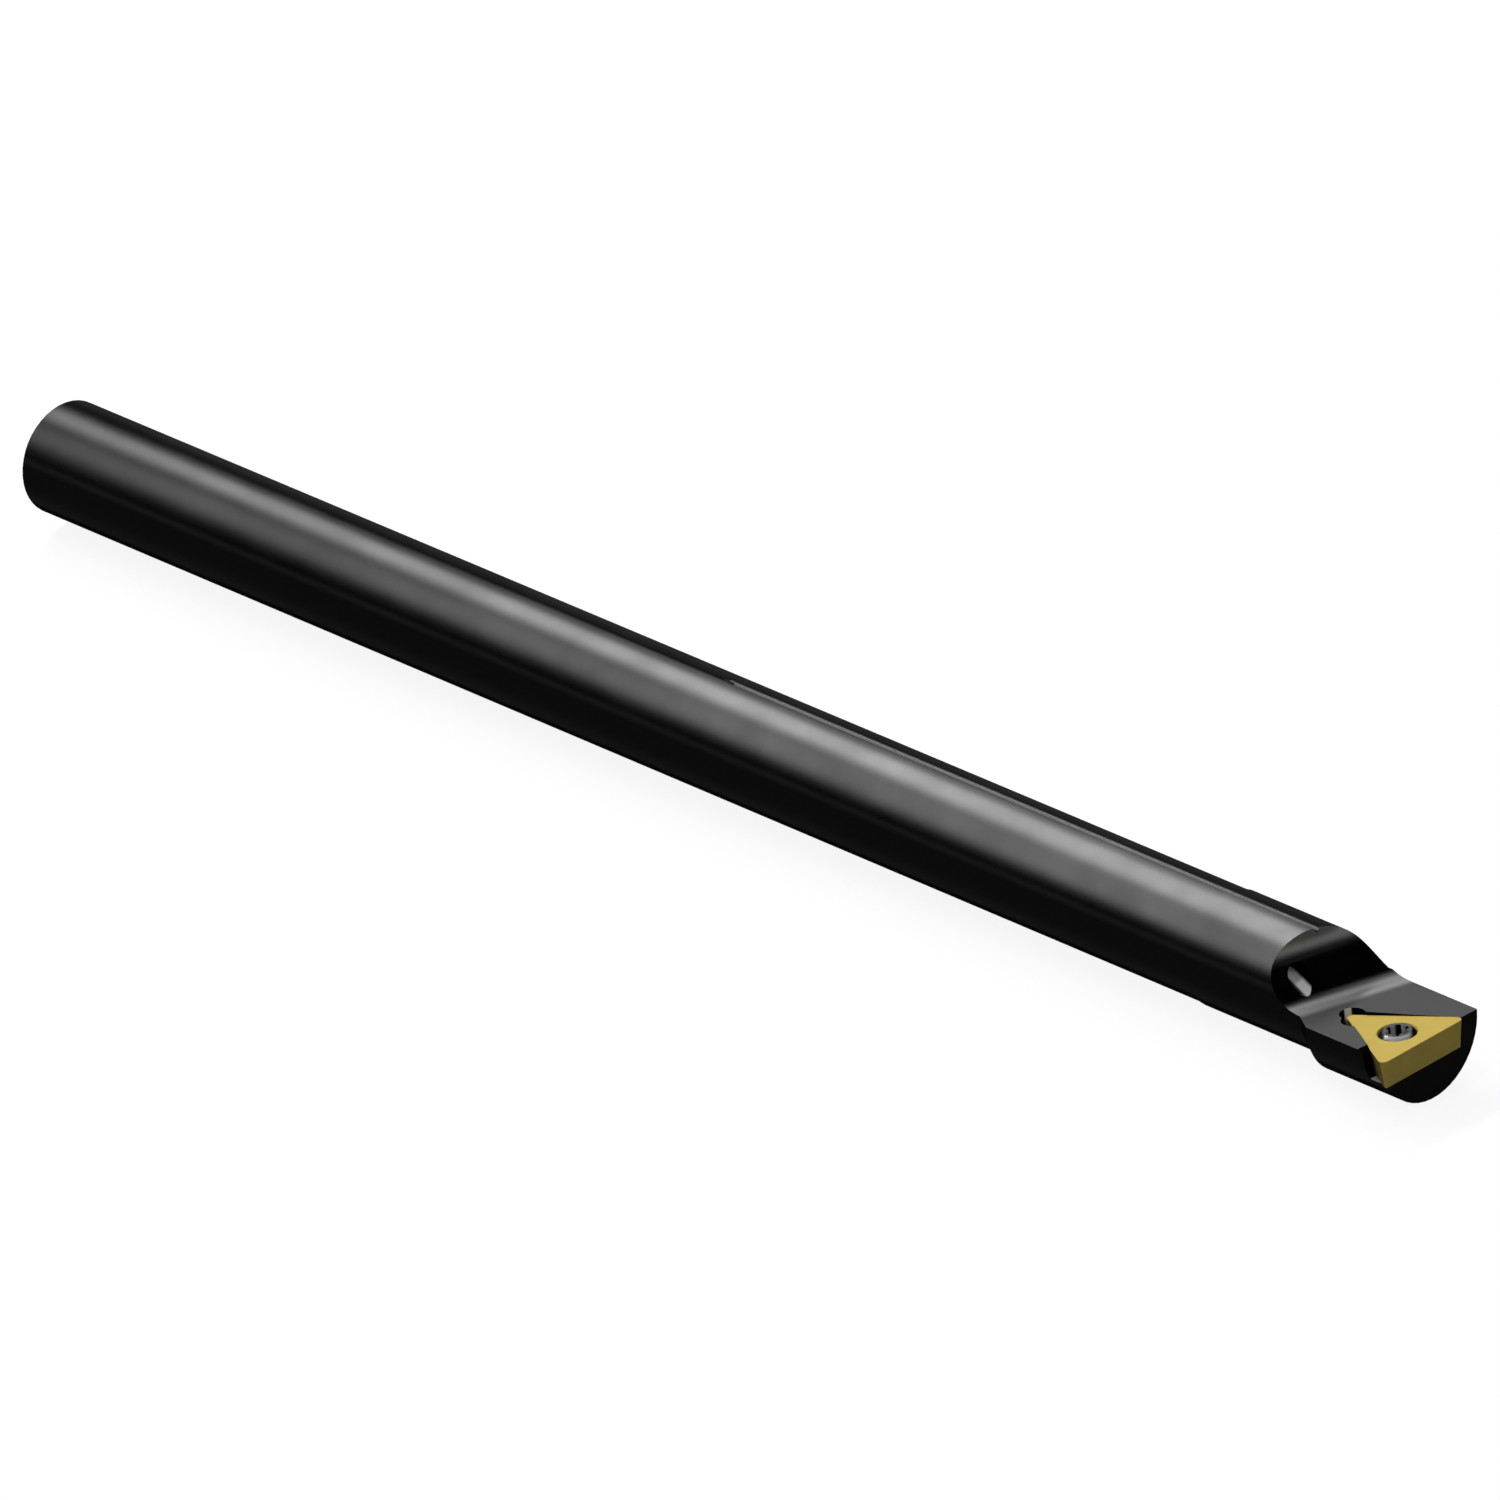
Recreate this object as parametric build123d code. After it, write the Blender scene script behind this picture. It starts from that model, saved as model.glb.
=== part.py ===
from build123d import *
import math
import os

# Left-hand indexable boring bar with a through coolant bore. Millimetres.
# +X runs from the rear face of the shank to the cutting tip, +Z is the rake side,
# and the cutting corner points to -Y. The shank axis is the X axis.

# Shank
OVERALL_LENGTH = 268.0          # rear face to the foremost point of the cutting corner
SHANK_DIAMETER = 16.0           # ground length that the holder clamps
REAR_CHAMFER = 0.5
NECK_DIAMETER = 16.32           # unground length behind the head
NECK_LENGTH = 21.6
ORIENTATION_GROOVE_LENGTH = 97.5    # on the ground length, measured back from the neck
GROOVE_WIDTH = 0.8
GROOVE_DEPTH = 0.3
GROOVE_RUNOUT = 2.0
GROOVE_ANGLE = 3.7              # degrees from +Z towards +Y

# Head
HEAD_LENGTH = 17.9              # from the end of the neck to the tip
HEAD_DIAMETER = 18.3
HEAD_OFFSET = 0.75              # head axis from shank axis, towards the cutting side
SHOULDER_ANGLE = 30.0           # slope of the shoulder cone to the shank axis
FRONT_SETBACK = 1.25            # tip to front face, along the shank axis

# Chip gash in the head
FLAT_HEIGHT = 0.25              # flat above the shank axis
GASH_RADIUS = 6.9
GASH_SKEW = 12.7                # degrees, plan angle of the gash to the Y axis
GASH_LENGTH = 23.35             # tip to the upright wall of the gash, on the shank axis

# Triangular insert with 7 degree relief
INSCRIBED_CIRCLE = 9.525
INSERT_THICKNESS = 3.97
RELIEF_ANGLE = 7.0
NOSE_RADIUS = 0.8
INSERT_HOLE_DIAMETER = 4.4
COUNTERSINK_DIAMETER = 5.5
COUNTERSINK_ANGLE = 60.0
EDGE_HONE = 0.06                # rounding of the cutting edges

# How the insert stands in the head
CUTTING_OFFSET = 10.2           # shank axis to the side of the cutting corner
APPROACH_ANGLE = 93.0
AXIAL_RAKE = 2.0
RADIAL_RAKE = 1.5

# Pocket
SUPPORT_END = 4.3               # tip to the end of the side wall, along the shank axis
SUPPORT_BEVEL_LENGTH = 0.95
SUPPORT_BEVEL_DEPTH = 0.45
CORNER_RELIEF_DIAMETER = 3.6
CORNER_RELIEF_INSET = 1.55      # relief axis from the pocket corner, along its bisector
SIDE_RELIEF_DIAMETER = 3.3
SIDE_RELIEF_ALONG = 3.2         # relief axis from the pocket corner, along the side wall
SIDE_RELIEF_INSET = 0.27
RELIEF_DEPTH = 0.3              # how far both reliefs go below the seat

# Clamping screw
THREAD_DIAMETER = 3.5
SCREW_HEAD_DIAMETER = 5.2
SCREW_TOP_DIAMETER = 3.9        # flat on top of the raised head
SCREW_TOP_HEIGHT = 0.29         # flat above the insert's top face
SCREW_SHOULDER_RADIUS = 1.4     # rounding between the flat and the edge of the head
SCREW_LENGTH = 8.6              # flat to point
SCREW_POINT_CHAMFER = 0.4
SOCKET_DIAMETER = 3.35
SOCKET_WAIST_DIAMETER = 2.4
SOCKET_DEPTH = 1.8
SOCKET_LOBES = 6
SOCKET_TURN = 12.0              # degrees, how far the screw is turned in the insert

# Coolant
COOLANT_BORE_DIAMETER = 6.0
COOLANT_INLET_CHAMFER = 1.0
COOLANT_BORE_END = 28.0         # tip to the end of the straight bore
OUTLET_DIAMETER = 3.1
OUTLET_BACK = 22.3              # tip to the mouth of the outlet in the gash
OUTLET_SIDE = 3.7               # mouth towards the cutting side
OUTLET_HEIGHT = 2.75            # mouth above the shank axis
OUTLET_DEPTH = 14.0             # from the mouth to the end of the drilling

# Worked out from the sizes above
SHOULDER_START = OVERALL_LENGTH - HEAD_LENGTH
NECK_START = SHOULDER_START - NECK_LENGTH
HEAD_REACH = HEAD_DIAMETER + 2 * HEAD_OFFSET      # larger than any section of the head
CIRCUMRADIUS = INSCRIBED_CIRCLE


def seat_frame():
    """Plane of the insert's top face, its origin on the screw axis and its X towards the tip."""
    axial = math.tan(math.radians(AXIAL_RAKE))
    radial = math.tan(math.radians(RADIAL_RAKE))
    frame = Plane(origin=(0, 0, 0), x_dir=(1, 0, axial), z_dir=(-axial, -radial, 1))
    nose = nose_centre()
    on_top = frame.x_dir * nose.X + frame.y_dir * nose.Y
    tip = Vector(OVERALL_LENGTH - NOSE_RADIUS, NOSE_RADIUS - CUTTING_OFFSET, 0)
    return Plane(origin=tip - on_top, x_dir=frame.x_dir, z_dir=frame.z_dir)


def corner_direction(index):
    """Unit vector from the screw axis to corner 0 (cutting), 1 (outer) or 2 (rear)."""
    angle = math.radians(APPROACH_ANGLE - 90 - 60 + 120 * index)
    return Vector(math.cos(angle), math.sin(angle))


def nose_centre():
    return corner_direction(0) * (CIRCUMRADIUS - 2 * NOSE_RADIUS)


def triangle(inset, corner_radius):
    """Insert outline moved inwards by an inset, with rounded corners."""
    reach = CIRCUMRADIUS - 2 * inset
    corners = [corner_direction(index) * reach for index in range(3)]
    outline = make_face(Polyline(*corners, close=True))
    return fillet(outline.vertices(), corner_radius)


def insert_body():
    """Tapered body of the insert, from its top face down to its seat."""
    inset = INSERT_THICKNESS * math.tan(math.radians(RELIEF_ANGLE))
    top = triangle(0, NOSE_RADIUS)
    bottom = Pos(0, 0, -INSERT_THICKNESS) * triangle(inset, NOSE_RADIUS - inset)
    body = loft([bottom, top], ruled=True)
    return fillet(body.faces().sort_by(Axis.Z)[-1].edges(), EDGE_HONE)


def cone_depth(wide, narrow):
    """Height between two diameters of the countersink."""
    return (wide - narrow) / 2 / math.tan(math.radians(COUNTERSINK_ANGLE / 2))


def insert_hole():
    depth = cone_depth(COUNTERSINK_DIAMETER, INSERT_HOLE_DIAMETER)
    profile = Polyline(
        (0, 0),
        (COUNTERSINK_DIAMETER / 2, 0),
        (INSERT_HOLE_DIAMETER / 2, -depth),
        (INSERT_HOLE_DIAMETER / 2, -INSERT_THICKNESS),
        (0, -INSERT_THICKNESS),
        close=True,
    )
    return revolve(Plane.XZ * make_face(profile), Axis.Z)


def insert():
    return insert_body() - insert_hole()


def socket():
    """Six-lobe socket of the screw."""
    lobe = (SOCKET_DIAMETER - SOCKET_WAIST_DIAMETER) / 2
    outline = Circle(SOCKET_DIAMETER / 2 - lobe / 2)
    for index in range(SOCKET_LOBES):
        outline += PolarLocations(SOCKET_DIAMETER / 2 - lobe, 1, index * 360 / SOCKET_LOBES) * Circle(lobe)
    for index in range(SOCKET_LOBES):
        angle = (index + 0.5) * 360 / SOCKET_LOBES
        outline -= PolarLocations(SOCKET_WAIST_DIAMETER / 2 + lobe, 1, angle) * Circle(lobe)
    return extrude(outline, -SOCKET_DEPTH)


def insert_screw():
    """Screw with a raised head, whose cone rests in the countersink of the insert."""
    edge = -cone_depth(COUNTERSINK_DIAMETER, SCREW_HEAD_DIAMETER)
    neck = -cone_depth(COUNTERSINK_DIAMETER, THREAD_DIAMETER)
    point = SCREW_TOP_HEIGHT - SCREW_LENGTH
    profile = Polyline(
        (SCREW_HEAD_DIAMETER / 2, edge),
        (THREAD_DIAMETER / 2, neck),
        (THREAD_DIAMETER / 2, point + SCREW_POINT_CHAMFER),
        (THREAD_DIAMETER / 2 - SCREW_POINT_CHAMFER, point),
        (0, point),
        (0, SCREW_TOP_HEIGHT),
        (SCREW_TOP_DIAMETER / 2, SCREW_TOP_HEIGHT),
    )
    profile += RadiusArc(profile @ 1, profile @ 0, SCREW_SHOULDER_RADIUS)
    screw = revolve(Plane.XZ * make_face(profile), Axis.Z)
    return Rot(0, 0, SOCKET_TURN) * (screw - Pos(0, 0, SCREW_TOP_HEIGHT) * socket())


def ring(diameter, offset, x):
    """Circle across the shank axis, its centre moved towards the cutting side."""
    return Plane(origin=(x, -offset, 0), x_dir=(0, 1, 0), z_dir=(1, 0, 0)) * Circle(diameter / 2)


def head_blank():
    """Shoulder cone about the shank axis, cut down to the head's own round about its moved axis."""
    wide = HEAD_REACH / 2
    run = (wide - NECK_DIAMETER / 2) / math.tan(math.radians(SHOULDER_ANGLE))
    profile = Polyline((SHOULDER_START, 0), (SHOULDER_START, NECK_DIAMETER / 2), (SHOULDER_START + run, wide),
                       (OVERALL_LENGTH, wide), (OVERALL_LENGTH, 0), close=True)
    turned = revolve(make_face(profile), Axis.X)
    return turned & extrude(ring(HEAD_DIAMETER, HEAD_OFFSET, SHOULDER_START), HEAD_LENGTH)


def round_bar():
    """Ground shank, neck and head before anything is cut from them."""
    shank = extrude(ring(SHANK_DIAMETER, 0, 0), NECK_START)
    shank = chamfer(shank.edges().sort_by(Axis.X)[0], REAR_CHAMFER)
    neck = extrude(ring(NECK_DIAMETER, 0, NECK_START), NECK_LENGTH)
    return shank + neck + head_blank()


def front_cut():
    """All that lies before the front face, which is parallel to the front cutting edge."""
    turn = APPROACH_ANGLE - 90
    block = Box(HEAD_REACH, 2 * HEAD_REACH, 2 * HEAD_REACH, align=(Align.MIN, Align.CENTER, Align.CENTER))
    return Pos(OVERALL_LENGTH - FRONT_SETBACK, 0, 0) * Rot(0, 0, turn) * block


def gash_cut():
    """Quarter-round gash, run out forwards over the flat."""
    radius = GASH_RADIUS
    top = FLAT_HEIGHT + HEAD_REACH
    forward = GASH_LENGTH + radius
    profile = Polyline((0, FLAT_HEIGHT + radius), (0, top), (forward, top), (forward, FLAT_HEIGHT),
                       (radius, FLAT_HEIGHT))
    profile += RadiusArc((radius, FLAT_HEIGHT), (0, FLAT_HEIGHT + radius), radius)
    side = Plane(origin=(0, HEAD_REACH, 0), x_dir=(1, 0, 0), z_dir=(0, -1, 0))
    body = extrude(side * make_face(profile), 2 * HEAD_REACH)
    return Pos(OVERALL_LENGTH - GASH_LENGTH, 0, 0) * Rot(0, 0, -GASH_SKEW) * body


def wall_corner(height):
    """Pocket corner at a height above the seat, where its two sloping walls meet."""
    inset = (INSERT_THICKNESS - height) * math.tan(math.radians(RELIEF_ANGLE))
    return corner_direction(2) * (CIRCUMRADIUS - 2 * inset)


def pocket_section(height):
    corner = wall_corner(height)
    reach = 2 * HEAD_REACH
    along_front = (corner_direction(1) - corner_direction(2)).normalized()
    along_side = (corner_direction(0) - corner_direction(2)).normalized()
    outline = Polyline(corner, corner + along_side * reach, corner + along_front * reach, close=True)
    return Pos(0, 0, height - INSERT_THICKNESS) * make_face(outline)


def side_opening(seat):
    """Cut that ends the side wall and opens the pocket beyond it to the cutting side."""
    end = seat.to_local_coords(Vector(OVERALL_LENGTH - SUPPORT_END, -CUTTING_OFFSET, 0)).X
    opening = Box(HEAD_REACH, HEAD_REACH, 2 * INSERT_THICKNESS, align=(Align.MIN, Align.MAX, Align.MIN))
    level = Pos(end, 0, -INSERT_THICKNESS) * opening
    slope = math.degrees(math.atan2(SUPPORT_BEVEL_DEPTH, SUPPORT_BEVEL_LENGTH))
    start = Pos(OVERALL_LENGTH - SUPPORT_END - SUPPORT_BEVEL_LENGTH, 0, FLAT_HEIGHT)
    bevel = Box(HEAD_REACH, HEAD_REACH, HEAD_REACH, align=(Align.MIN, Align.MAX, Align.MIN))
    keep = Pos(0, corner_direction(2).Y * CIRCUMRADIUS, 0)
    return seat.location * level, start * keep * Rot(0, slope, 0) * bevel


def reliefs():
    """Drilled reliefs that keep the insert's rear corner clear of the pocket."""
    corner = wall_corner(INSERT_THICKNESS)
    along_side = (corner_direction(0) - corner_direction(2)).normalized()
    inwards = Vector(-along_side.Y, along_side.X)
    at_corner = corner - corner_direction(2) * CORNER_RELIEF_INSET
    at_side = corner + along_side * SIDE_RELIEF_ALONG + inwards * SIDE_RELIEF_INSET
    depth = INSERT_THICKNESS + RELIEF_DEPTH
    holes = []
    for centre, diameter in ((at_corner, CORNER_RELIEF_DIAMETER), (at_side, SIDE_RELIEF_DIAMETER)):
        hole = Cylinder(diameter / 2, 2 * depth, align=(Align.CENTER, Align.CENTER, Align.MIN))
        holes.append(Pos(centre.X, centre.Y, -depth) * hole)
    return holes


def pocket_cut(seat):
    walls = loft([pocket_section(0), pocket_section(2 * INSERT_THICKNESS)], ruled=True)
    cut = seat.location * walls
    for opening in side_opening(seat):
        cut += opening
    for hole in reliefs():
        cut += seat.location * hole
    return cut


def screw_hole(seat):
    hole = Cylinder(THREAD_DIAMETER / 2, 2 * HEAD_REACH)
    return seat.location * hole


def coolant_cut():
    """Straight bore from the rear, and a drilling that meets it and aims at the cutting corner."""
    bore = extrude(ring(COOLANT_BORE_DIAMETER, 0, 0), OVERALL_LENGTH - COOLANT_BORE_END)
    inlet = loft([ring(COOLANT_BORE_DIAMETER + 2 * COOLANT_INLET_CHAMFER, 0, 0),
                  ring(COOLANT_BORE_DIAMETER, 0, COOLANT_INLET_CHAMFER)], ruled=True)
    mouth = Vector(OVERALL_LENGTH - OUTLET_BACK, -OUTLET_SIDE, OUTLET_HEIGHT)
    target = Vector(OVERALL_LENGTH, -CUTTING_OFFSET, 0)
    aim = (target - mouth).normalized()
    drill = Plane(origin=mouth - aim * OUTLET_DEPTH, z_dir=aim)
    reach = OUTLET_DEPTH + GASH_RADIUS / 2
    jet = Cylinder(OUTLET_DIAMETER / 2, reach, align=(Align.CENTER, Align.CENTER, Align.MIN))
    return bore + inlet + drill.location * jet


def orientation_groove():
    """Round-bottomed groove along the top, fading out at its rear end."""
    radius = (GROOVE_WIDTH ** 2 / 4 + GROOVE_DEPTH ** 2) / (2 * GROOVE_DEPTH)
    level = SHANK_DIAMETER / 2 - GROOVE_DEPTH + radius
    start = NECK_START - ORIENTATION_GROOVE_LENGTH
    path = Polyline((start, 0, level + GROOVE_DEPTH), (start + GROOVE_RUNOUT, 0, level),
                    (OVERALL_LENGTH - GASH_LENGTH + GASH_RADIUS, 0, level))
    section = Plane(origin=path @ 0, z_dir=path % 0) * Circle(radius)
    cutter = sweep(section, path, transition=Transition.RIGHT)
    return Rot(-GROOVE_ANGLE, 0, 0) * cutter


def bar(seat):
    body = round_bar() - front_cut() - gash_cut() - pocket_cut(seat)
    return body - screw_hole(seat) - coolant_cut() - orientation_groove()


def save(name, shape):
    shape.label = name
    export_step(shape, "parts/" + name + ".step")
    print(name, "volume", round(shape.volume, 3), "valid", shape.is_valid)


seat_plane = seat_frame()
os.makedirs("parts", exist_ok=True)
save("bar", bar(seat_plane))
save("insert", seat_plane.location * insert())
save("insert_screw", seat_plane.location * insert_screw())
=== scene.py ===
import math

import bpy
from mathutils import Matrix, Vector


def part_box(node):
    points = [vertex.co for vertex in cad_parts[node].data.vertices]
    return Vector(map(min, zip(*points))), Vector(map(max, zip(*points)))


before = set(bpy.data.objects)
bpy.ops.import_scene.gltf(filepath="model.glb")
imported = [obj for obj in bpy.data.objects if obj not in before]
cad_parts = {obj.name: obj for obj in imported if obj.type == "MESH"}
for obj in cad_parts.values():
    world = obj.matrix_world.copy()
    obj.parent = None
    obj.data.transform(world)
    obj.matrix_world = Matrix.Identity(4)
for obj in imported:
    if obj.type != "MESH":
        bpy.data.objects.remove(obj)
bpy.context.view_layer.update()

WHITE = (1, 1, 1, 1)

# Camera: a long lens, far off
CAMERA_PLACE = Vector((3.31240, -2.81044, 2.08259))
CAMERA_TARGET = Vector((0.08584, 0.04449, -0.03369))
CAMERA_ROLL = math.radians(-3.5918)
SENSOR_WIDTH = 36.0
FOCAL_LENGTH = 853.87
CLIP_START = 0.1
CLIP_END = 50.0

# Lights: degrees round the bar from the cutting side, degrees of lean to the rear, length round
# the bar, width along it, and brightness at the middle
LIT_POINT = Vector((0.2, 0.0, 0.0))
LIGHT_DISTANCE = 3.0
LIGHTS = {
    "key_light": (107, 42, 3.6, 0.5, 42.0),
    "high_light": (124, 20, 1.4, 1.3, 5.5),
    "side_light": (57, 42, 5.6, 0.5, 16.8),
    "front_light": (130, -80, 0.8, 0.6, 5.0),
    "fill_light": (68, -43, 2.4, 0.4, 18.0),
    "top_light": (72, 0, 2.4, 0.4, 18.0),
}
# Share of a lamp's side over which it brightens from its rim
RIM_SHARE = 0.45
WORLD_STRENGTH = 0.03

# Floor
FLOOR_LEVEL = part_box("bar")[0].z
FLOOR_HALF_SIDE = 4.0
FLOOR_COLOUR = (0.1, 0.1, 0.1, 1)
FLOOR_WHITE = 0.9

# Where the insert sits
SEAT_POINT = (0.2628803, -0.0027558, 0.0000231)
SEAT_NORMAL = (-0.03489, -0.02616, 0.99905)

# Drilled holes with a strip of painted highlight on the wall: point on the axis, direction,
# radius, way the strip faces, and the cosines where the strip starts and is full
BORE_HIGHLIGHTS = {
    "coolant_outlet": ((0.2457, -0.0037, 0.00275), (0.95339, -0.27789, -0.11757), 0.00155,
                       (0.03, -0.31, 0.95), 0.8, 0.97),
    "rear_relief": ((0.2549215, -0.003173, -0.0002657), SEAT_NORMAL, 0.0018,
                    (0.93, -0.37, 0.02), 0.94, 0.985),
    "side_relief": ((0.2563477, -0.0044659, -0.0002498), SEAT_NORMAL, 0.00165,
                    (0.17, -0.98, 0.0), 0.9, 0.97),
}
# How far a hole's wall reaches from its point, and how far it may lie from its radius
BORE_REACH = 0.005
BORE_SPARE = 0.00003
# Cosine to a line, past which a face isn't a wall along it
WALL_TILT = 0.4

# Orientation groove: point in the middle of its length, direction, radius, fading edge and how far
# it reaches each way
# Groove floor, darkened as painted shade
GROOVE_FLOOR = ((0.2, 0.0004969, 0.007684), (1.0, 0.0, 0.0), 0.00018, 0.00004, 0.0675)
# One edge of the groove, lightened as a painted highlight
GROOVE_EDGE = ((0.2, 0.0009348, 0.0079475), (1.0, 0.0, 0.0), 0.0001, 0.00006, 0.068)

# Foot of the gash, with a painted highlight: the same five values
GASH_FOOT = ((0.25079, -0.001385, 0.000276), (0.2198, 0.9755, 0.0), 0.0002, 0.0016, 0.02)

# Faces of the pieces, as the inputs of the facing group
# Upward flats, made grey: milled steel, and painted sheen standing in for their reflection
MILLED_FLAT = {"Start": 0.9, "Full": 0.98, "Below": 0.004}
# Faces at the foot of the gash that get the painted highlight
FOOT_FACES = {"Start": 0.85, "Full": 0.95}
# Top of the gash wall, which gets a painted highlight
GASH_LIP = {"X": 1.0, "Z": 0.0, "Start": 0.92, "Full": 0.975, "Above": 0.003}
# Pocket floor: bare ground steel, made light grey as painted light where the lamps barely reach
POCKET_FLOOR = {"Start": 0.9, "Full": 0.98, "Below": -0.003}
# Lower side and front end of the bar, darkened as painted shade
LOWER_SIDE = {"Z": -1.0, "Start": -0.4, "Full": -0.18}
FRONT_END = {"X": 1.0, "Z": 0.0, "Start": 0.9, "Full": 0.98, "Below": 0.003}
# Insert flank on the cutting side, which gets painted shade
INSERT_FLANK = {"X": -0.45, "Y": -0.885, "Z": -0.12, "Start": 0.8, "Full": 0.97}
# Brow of the screw head, which gets a painted highlight
SCREW_BROW = {"X": 0.43, "Y": -0.38, "Z": 0.82, "Start": 0.8, "Full": 0.95}

# Socket of the screw: radius within which its walls get a painted highlight, and fading edge
SOCKET_HIGHLIGHT_RADIUS = 0.00138
SOCKET_HIGHLIGHT_EDGE = 0.0001

# Middle range of a noise, where most of its values lie
NOISE_LOW = 0.3
NOISE_HIGH = 0.7
PATCH_DETAIL = 4.0
MARK_DETAIL = 2.0
GRAIN_DETAIL = 3.0

# Bump: height in metres and strength
MARK_BUMP = (0.00001, 0.15)
GRAIN_BUMP = (0.000005, 0.2)

# Black oxide: the two tones of its patches, then the colour and metallic value of each place
# where it differs, most of them painted shade or painted highlights, from the lowest layer to the
# top one; None leaves the metallic value alone
OXIDE_TONES = ((0.0142, 0.0142, 0.0144, 1), (0.018, 0.018, 0.0183, 1))
OXIDE_PLACES = {
    # Painted shade on the lower side and the front end
    "painted_shade": ((0.0045, 0.0045, 0.0046, 1), None),
    # Milled flats, lightened with painted sheen
    "milled_and_painted_sheen": ((0.076, 0.076, 0.077, 1), 0.2),
    # Painted highlight at the foot of the gash
    "painted_highlight_foot": ((0.25, 0.25, 0.252, 1), 0.2),
    # Painted highlight on the top of the gash wall
    "painted_highlight_lip": ((0.2, 0.2, 0.202, 1), None),
    # Bare ground pocket floor, lightened as painted light
    "ground": ((0.45, 0.45, 0.45, 1), None),
    # Painted shade in the groove
    "painted_shade_groove": ((0.004, 0.004, 0.004, 1), None),
    # Painted highlight along one edge of the groove
    "painted_highlight_groove_edge": ((0.14, 0.14, 0.14, 1), 0.3),
    # Painted highlights on the walls of the drilled holes
    "painted_highlight_bores": ((0.85, 0.85, 0.85, 1), 0.0),
}
# Metallic value where the shade is painted
PAINTED_SHADE_GLOSS = 0.4
# Gloss at the rim, and the slants between which it falls, from 0 facing to 1 edge on
RIM_GLOSS = 0.02
RIM_START = 0.57
RIM_FULL = 0.77

# Gold coating: the two tones of its patches, and the painted shade on the flank at the cutting
# side
GOLD_TONES = ((0.45, 0.336, 0.084, 1), (0.486, 0.366, 0.092, 1))
GOLD_PAINTED_SHADE = (0.14, 0.105, 0.028, 1)

# Screw: the two tones of its patches, and the colour of its painted highlights
SCREW_TONES = ((0.036, 0.036, 0.038, 1), (0.048, 0.048, 0.05, 1))
SCREW_PAINTED_HIGHLIGHT = (0.36, 0.36, 0.36, 1)


def link(obj):
    bpy.context.scene.collection.objects.link(obj)
    return obj


def feed(tree, socket, value):
    """Link an output to a socket, or set a plain value on it."""
    if isinstance(value, bpy.types.NodeSocket):
        tree.links.new(value, socket)
    else:
        socket.default_value = value


def feed_all(tree, node, values):
    for socket, value in values.items():
        feed(tree, node.inputs[socket], value)


def calculate(tree, operation, *values):
    """Math node on outputs and plain numbers."""
    node = tree.nodes.new("ShaderNodeMath")
    node.operation = operation
    feed_all(tree, node, dict(enumerate(values)))
    return node.outputs[0]


def times(tree, first, second):
    return calculate(tree, "MULTIPLY", first, second)


def calculate_vector(tree, operation, *values):
    """Vector Math node on outputs; lengths and dot products come out as a number."""
    node = tree.nodes.new("ShaderNodeVectorMath")
    node.operation = operation
    feed_all(tree, node, dict(enumerate(values)))
    return node.outputs["Value" if operation in ("LENGTH", "DOT_PRODUCT") else "Vector"]


def join(tree, *values):
    """Vector of three outputs."""
    node = tree.nodes.new("ShaderNodeCombineXYZ")
    feed_all(tree, node, dict(enumerate(values)))
    return node.outputs[0]


def split(tree, value):
    """Outputs X, Y and Z of a vector."""
    node = tree.nodes.new("ShaderNodeSeparateXYZ")
    feed(tree, node.inputs[0], value)
    return node.outputs


def remap(tree, value, start, full, low=0.0, high=1.0, shape="LINEAR"):
    """Number that goes from low to high as a value goes from start to full."""
    node = tree.nodes.new("ShaderNodeMapRange")
    node.interpolation_type = shape
    feed_all(tree, node, {"Value": value, "From Min": start, "From Max": full,
                          "To Min": low, "To Max": high})
    return node.outputs["Result"]


def place_camera():
    """Long lens looking down on the bar from the cutting side."""
    lens = bpy.data.cameras.new("camera")
    lens.sensor_width = SENSOR_WIDTH
    lens.lens = FOCAL_LENGTH
    lens.clip_start = CLIP_START
    lens.clip_end = CLIP_END
    camera = link(bpy.data.objects.new("camera", lens))
    back = (CAMERA_PLACE - CAMERA_TARGET).normalized()
    turn = Matrix.Rotation(CAMERA_ROLL, 3, back) @ back.to_track_quat("Z", "Y").to_matrix()
    camera.matrix_world = Matrix.Translation(CAMERA_PLACE) @ turn.to_4x4()
    bpy.context.scene.camera = camera


def soften_edges(lamp):
    """Fade a lamp from its middle to its rim."""
    tree = lamp.node_tree
    place = split(tree, tree.nodes.new("ShaderNodeNewGeometry").outputs["Parametric"])
    middle = 0.5
    sides = [remap(tree, calculate(tree, "PINGPONG", place[axis], middle), 0.0, RIM_SHARE,
                   shape="SMOOTHSTEP") for axis in "XY"]
    feed(tree, tree.nodes["Emission"].inputs["Strength"], times(tree, *sides))


def place_light(name, turn, lean, length, width, brightness):
    """Soft box that faces the bar, with its length round the bar."""
    lamp = bpy.data.lights.new(name, "AREA")
    lamp.shape = "RECTANGLE"
    lamp.size = length
    lamp.size_y = width
    lamp.energy = brightness * math.pi * length * width
    lamp.use_nodes = True
    soften_edges(lamp)
    light = link(bpy.data.objects.new(name, lamp))
    facing = (Matrix.Rotation(math.radians(90 - turn), 3, "X")
              @ Matrix.Rotation(math.radians(-lean), 3, "Y")
              @ Matrix.Rotation(math.radians(90), 3, "Z"))
    away = facing.col[2]
    light.matrix_world = Matrix.Translation(LIT_POINT + away * LIGHT_DISTANCE) @ facing.to_4x4()
    light.visible_camera = False


def light_world():
    world = bpy.data.worlds.new("studio")
    bpy.context.scene.world = world
    world.use_nodes = True
    background = world.node_tree.nodes["Background"]
    background.inputs["Color"].default_value = WHITE
    background.inputs["Strength"].default_value = WORLD_STRENGTH


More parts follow.
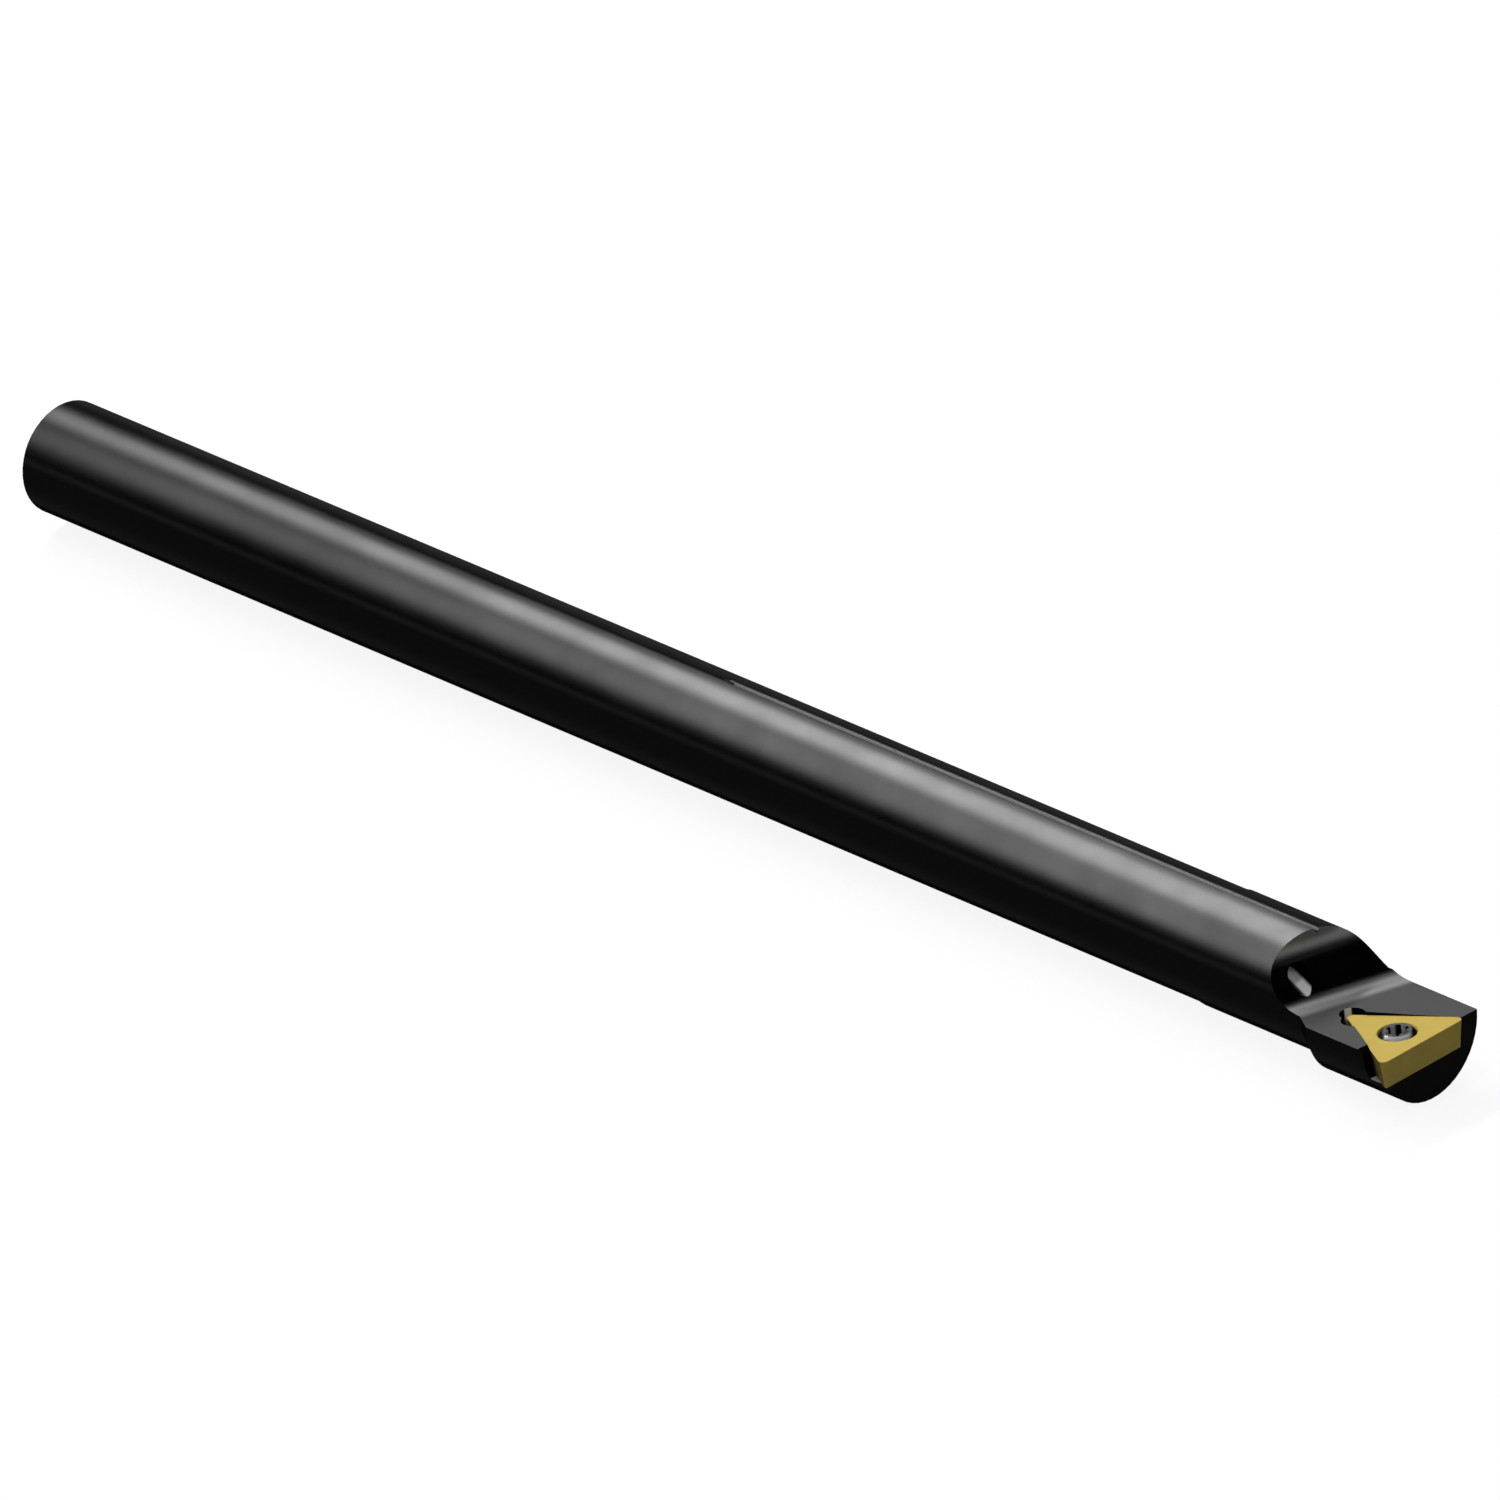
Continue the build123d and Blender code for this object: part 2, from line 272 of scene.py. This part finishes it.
def floor_material():
    """Pale floor: it keeps the shadow, and shows white to the camera, metal and glass."""
    material = bpy.data.materials.new("pale_floor")
    material.use_nodes = True
    tree = material.node_tree
    tree.nodes.clear()
    path = tree.nodes.new("ShaderNodeLightPath").outputs
    seen = calculate(tree, "MAXIMUM", path["Is Camera Ray"], path["Is Glossy Ray"])
    seen = calculate(tree, "MAXIMUM", seen, path["Is Transmission Ray"])
    paper = tree.nodes.new("ShaderNodeBsdfDiffuse")
    glow = tree.nodes.new("ShaderNodeEmission")
    both = tree.nodes.new("ShaderNodeAddShader")
    output = tree.nodes.new("ShaderNodeOutputMaterial")
    feed_all(tree, paper, {"Color": FLOOR_COLOUR})
    feed_all(tree, glow, {"Color": WHITE, "Strength": times(tree, seen, FLOOR_WHITE)})
    feed_all(tree, both, {0: paper.outputs[0], 1: glow.outputs[0]})
    feed_all(tree, output, {"Surface": both.outputs[0]})
    return material


def lay_floor():
    side = FLOOR_HALF_SIDE
    corners = [(-side, -side, FLOOR_LEVEL), (side, -side, FLOOR_LEVEL),
               (side, side, FLOOR_LEVEL), (-side, side, FLOOR_LEVEL)]
    mesh = bpy.data.meshes.new("floor")
    mesh.from_pydata(corners, [], [(0, 1, 2, 3)])
    mesh.materials.append(floor_material())
    link(bpy.data.objects.new("floor", mesh))


def new_group(name, inputs, outputs):
    """Empty shader group with named number sockets, and its input and output nodes."""
    tree = bpy.data.node_groups.new(name, "ShaderNodeTree")
    for socket, value in inputs.items():
        made = tree.interface.new_socket(name=socket, in_out="INPUT",
                                         socket_type="NodeSocketFloat")
        made.default_value = value
    for socket in outputs:
        tree.interface.new_socket(name=socket, in_out="OUTPUT", socket_type="NodeSocketFloat")
    return tree, tree.nodes.new("NodeGroupInput").outputs, tree.nodes.new("NodeGroupOutput")


def noise(tree, place, scale, detail):
    """Noise on a vector, about 0.5."""
    node = tree.nodes.new("ShaderNodeTexNoise")
    feed_all(tree, node, {"Vector": place, "Scale": scale, "Detail": detail})
    return node.outputs["Fac"]


def blotches_group():
    """Slow patches over a surface, from one value to another."""
    inputs = {"Scale": 60.0, "Low": 0.0, "High": 1.0}
    tree, given, result = new_group("blotches", inputs, ["Value"])
    place = tree.nodes.new("ShaderNodeTexCoord").outputs["Object"]
    patch = noise(tree, place, given["Scale"], PATCH_DETAIL)
    patch = remap(tree, patch, NOISE_LOW, NOISE_HIGH, given["Low"], given["High"])
    feed_all(tree, result, {"Value": patch})
    return tree


def machining_group():
    """Fine lines round the shank axis, as turning and grinding leave them."""
    inputs = {"Lines": 9000.0, "Around": 40.0}
    tree, given, result = new_group("machining_marks", inputs, ["Height"])
    place = split(tree, tree.nodes.new("ShaderNodeTexCoord").outputs["Object"])
    stretched = join(tree, times(tree, place["X"], given["Lines"]),
                     times(tree, place["Y"], given["Around"]),
                     times(tree, place["Z"], given["Around"]))
    feed_all(tree, result, {"Height": noise(tree, stretched, 1.0, MARK_DETAIL)})
    return tree


def grain_group():
    """Fine even grain, as a coated or etched surface has it."""
    tree, given, result = new_group("grain", {"Scale": 6000.0}, ["Height"])
    place = tree.nodes.new("ShaderNodeTexCoord").outputs["Object"]
    feed_all(tree, result, {"Height": noise(tree, place, given["Scale"], GRAIN_DETAIL)})
    return tree


def facing_group():
    """Mask of the faces that point along X, Y, Z and lie between two heights.

    Start and Full are the cosines where the mask starts and is full.
    """
    inputs = {"X": 0.0, "Y": 0.0, "Z": 1.0, "Start": 0.9, "Full": 0.98, "Below": 1.0,
              "Above": -1.0}
    tree, given, result = new_group("facing", inputs, ["Mask"])
    place = tree.nodes.new("ShaderNodeTexCoord").outputs
    way = join(tree, *(given[axis] for axis in "XYZ"))
    along = calculate_vector(tree, "DOT_PRODUCT", place["Normal"], way)
    mask = remap(tree, along, given["Start"], given["Full"], shape="SMOOTHSTEP")
    height = split(tree, place["Object"])["Z"]
    for operation, limit in (("LESS_THAN", "Below"), ("GREATER_THAN", "Above")):
        mask = times(tree, mask, calculate(tree, operation, height, given[limit]))
    feed_all(tree, result, {"Mask": mask})
    return tree


def line_group():
    """Distance from a line, distance along it from a point, and a mask of the walls along it."""
    inputs = {"Point X": 0.0, "Point Y": 0.0, "Point Z": 0.0,
              "Along X": 1.0, "Along Y": 0.0, "Along Z": 0.0}
    tree, given, result = new_group("line", inputs, ["Distance", "Reach", "Wall"])
    place = tree.nodes.new("ShaderNodeTexCoord").outputs
    point, along = (join(tree, *(given[kind + " " + axis] for axis in "XYZ"))
                    for kind in ("Point", "Along"))
    offset = calculate_vector(tree, "SUBTRACT", place["Object"], point)
    across = calculate_vector(tree, "CROSS_PRODUCT", offset, along)
    reach = calculate_vector(tree, "DOT_PRODUCT", offset, along)
    tilt = calculate_vector(tree, "DOT_PRODUCT", place["Normal"], along)
    feed_all(tree, result, {"Distance": calculate_vector(tree, "LENGTH", across),
                            "Reach": calculate(tree, "ABSOLUTE", reach),
                            "Wall": near(tree, tilt, 0.0, WALL_TILT)})
    return tree


def use_group(tree, group, **values):
    """Outputs of a shader group placed in a material with its own values."""
    node = tree.nodes.new("ShaderNodeGroup")
    node.node_tree = group
    feed_all(tree, node, values)
    return node.outputs


def facing(tree, **values):
    return use_group(tree, FACING, **values)["Mask"]


def blotches(tree, scale, low, high):
    return use_group(tree, BLOTCHES, Scale=scale, Low=low, High=high)["Value"]


def near(tree, value, middle, spare):
    """Mask of where a value is within a spare of its middle."""
    return calculate(tree, "COMPARE", value, middle, spare)


def line(tree, point, along):
    """Outputs of the line group for a point and a direction."""
    values = {}
    for axis, at, way in zip("XYZ", point, along):
        values["Point " + axis] = at
        values["Along " + axis] = way
    return use_group(tree, LINE, **values)


def bore_mask(tree, point, along, radius, way, start, full):
    """Mask of the strip of a bore's wall that faces one way."""
    axis = line(tree, point, along)
    strip = facing(tree, X=way[0], Y=way[1], Z=way[2], Start=start, Full=full)
    mask = times(tree, near(tree, axis["Distance"], radius, BORE_SPARE), axis["Wall"])
    mask = times(tree, mask, near(tree, axis["Reach"], 0.0, BORE_REACH))
    return times(tree, mask, strip)


def band_mask(tree, point, along, radius, edge, length):
    """Mask of what lies near a line, up to a length each way, fading out over an edge."""
    middle = line(tree, point, along)
    band = remap(tree, middle["Distance"], radius + edge, radius, shape="SMOOTHSTEP")
    return times(tree, band, near(tree, middle["Reach"], 0.0, length))


def strongest(tree, masks):
    """Largest of several masks."""
    top = masks[0]
    for mask in masks[1:]:
        top = calculate(tree, "MAXIMUM", top, mask)
    return top


def fade(tree, mask, plain, masked):
    """Number that goes from plain to masked with a mask."""
    node = tree.nodes.new("ShaderNodeMix")
    node.data_type = "FLOAT"
    feed_all(tree, node, {0: mask, 2: plain, 3: masked})
    return node.outputs[0]


def tint(tree, mask, plain, masked):
    """Colour that goes from plain to masked with a mask."""
    node = tree.nodes.new("ShaderNodeMix")
    node.data_type = "RGBA"
    feed_all(tree, node, {0: mask, 6: plain, 7: masked})
    return node.outputs[2]


def dull_rim(tree, low):
    """Gloss that falls off where a face is seen at a shallow angle."""
    slant = tree.nodes.new("ShaderNodeLayerWeight").outputs["Facing"]
    return remap(tree, slant, RIM_START, RIM_FULL, 1.0, low)


def raise_bump(tree, shader, height, distance, strength):
    bump = tree.nodes.new("ShaderNodeBump")
    feed_all(tree, bump, {"Height": height, "Distance": distance, "Strength": strength})
    feed(tree, shader.inputs["Normal"], bump.outputs[0])


def new_metal(name, metallic, edge):
    """Material, its nodes and its shader, with what is the same all over set on the shader."""
    material = bpy.data.materials.new(name)
    material.use_nodes = True
    shader = material.node_tree.nodes["Principled BSDF"]
    shader.inputs["Metallic"].default_value = metallic
    shader.inputs["Specular IOR Level"].default_value = 0.0
    shader.inputs["Specular Tint"].default_value = (edge, edge, edge, 1)
    return material, material.node_tree, shader


def black_oxide():
    """Oxide with slow patches and turning marks, and places of painted shade and painted
    highlights.
    """
    material, tree, shader = new_metal("black_oxide_steel", metallic=1.0, edge=0.55)
    under = facing(tree, **LOWER_SIDE)
    masks = {
        "painted_shade": strongest(tree, [under, facing(tree, **FRONT_END)]),
        "milled_and_painted_sheen": facing(tree, **MILLED_FLAT),
        "painted_highlight_foot": times(tree, band_mask(tree, *GASH_FOOT), facing(tree, **FOOT_FACES)),
        "painted_highlight_lip": facing(tree, **GASH_LIP),
        "ground": facing(tree, **POCKET_FLOOR),
        "painted_shade_groove": band_mask(tree, *GROOVE_FLOOR),
        "painted_highlight_groove_edge": band_mask(tree, *GROOVE_EDGE),
        "painted_highlight_bores": strongest(tree, [bore_mask(tree, *bore) for bore in BORE_HIGHLIGHTS.values()]),
    }
    colour = tint(tree, blotches(tree, 90.0, 0.0, 1.0), *OXIDE_TONES)
    metallic = times(tree, dull_rim(tree, RIM_GLOSS), fade(tree, masks["painted_shade"], 1.0, PAINTED_SHADE_GLOSS))
    for place, (place_colour, place_metallic) in OXIDE_PLACES.items():
        colour = tint(tree, masks[place], colour, place_colour)
        if place_metallic is not None:
            metallic = fade(tree, masks[place], metallic, place_metallic)
    feed_all(tree, shader, {"Base Color": colour, "Metallic": metallic,
                            "Roughness": blotches(tree, 140.0, 0.19, 0.22)})
    raise_bump(tree, shader, use_group(tree, MARKS)["Height"], *MARK_BUMP)
    return material


def gold_coating():
    """Coating with a fine grain, and painted shade on the flank at the cutting side."""
    material, tree, shader = new_metal("gold_coating", metallic=0.07, edge=0.6)
    colour = tint(tree, blotches(tree, 400.0, 0.0, 1.0), *GOLD_TONES)
    colour = tint(tree, facing(tree, **INSERT_FLANK), colour, GOLD_PAINTED_SHADE)
    feed_all(tree, shader, {"Base Color": colour, "Roughness": blotches(tree, 900.0, 0.4, 0.48)})
    raise_bump(tree, shader, use_group(tree, GRAIN)["Height"], *GRAIN_BUMP)
    return material


def screw_steel():
    """Dark steel, with painted highlights on the socket walls and the brow of the head."""
    material, tree, shader = new_metal("screw_steel", metallic=1.0, edge=0.5)
    axis = line(tree, SEAT_POINT, SEAT_NORMAL)
    socket_highlight = remap(tree, axis["Distance"], SOCKET_HIGHLIGHT_RADIUS + SOCKET_HIGHLIGHT_EDGE, SOCKET_HIGHLIGHT_RADIUS)
    socket_highlight = times(tree, socket_highlight, axis["Wall"])
    bright = strongest(tree, [socket_highlight, facing(tree, **SCREW_BROW)])
    colour = tint(tree, blotches(tree, 700.0, 0.0, 1.0), *SCREW_TONES)
    colour = tint(tree, bright, colour, SCREW_PAINTED_HIGHLIGHT)
    feed_all(tree, shader, {"Base Color": colour, "Metallic": fade(tree, bright, 1.0, 0.0),
                            "Roughness": blotches(tree, 900.0, 0.26, 0.34)})
    raise_bump(tree, shader, use_group(tree, GRAIN)["Height"], *GRAIN_BUMP)
    return material


def dress(node, material):
    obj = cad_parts[node]
    obj.data.materials.clear()
    obj.data.materials.append(material)


bpy.context.scene.view_settings.view_transform = "Standard"
place_camera()
light_world()
for name, values in LIGHTS.items():
    place_light(name, *values)
lay_floor()
BLOTCHES = blotches_group()
MARKS = machining_group()
GRAIN = grain_group()
FACING = facing_group()
LINE = line_group()
dress("bar", black_oxide())
dress("insert", gold_coating())
dress("insert_screw", screw_steel())
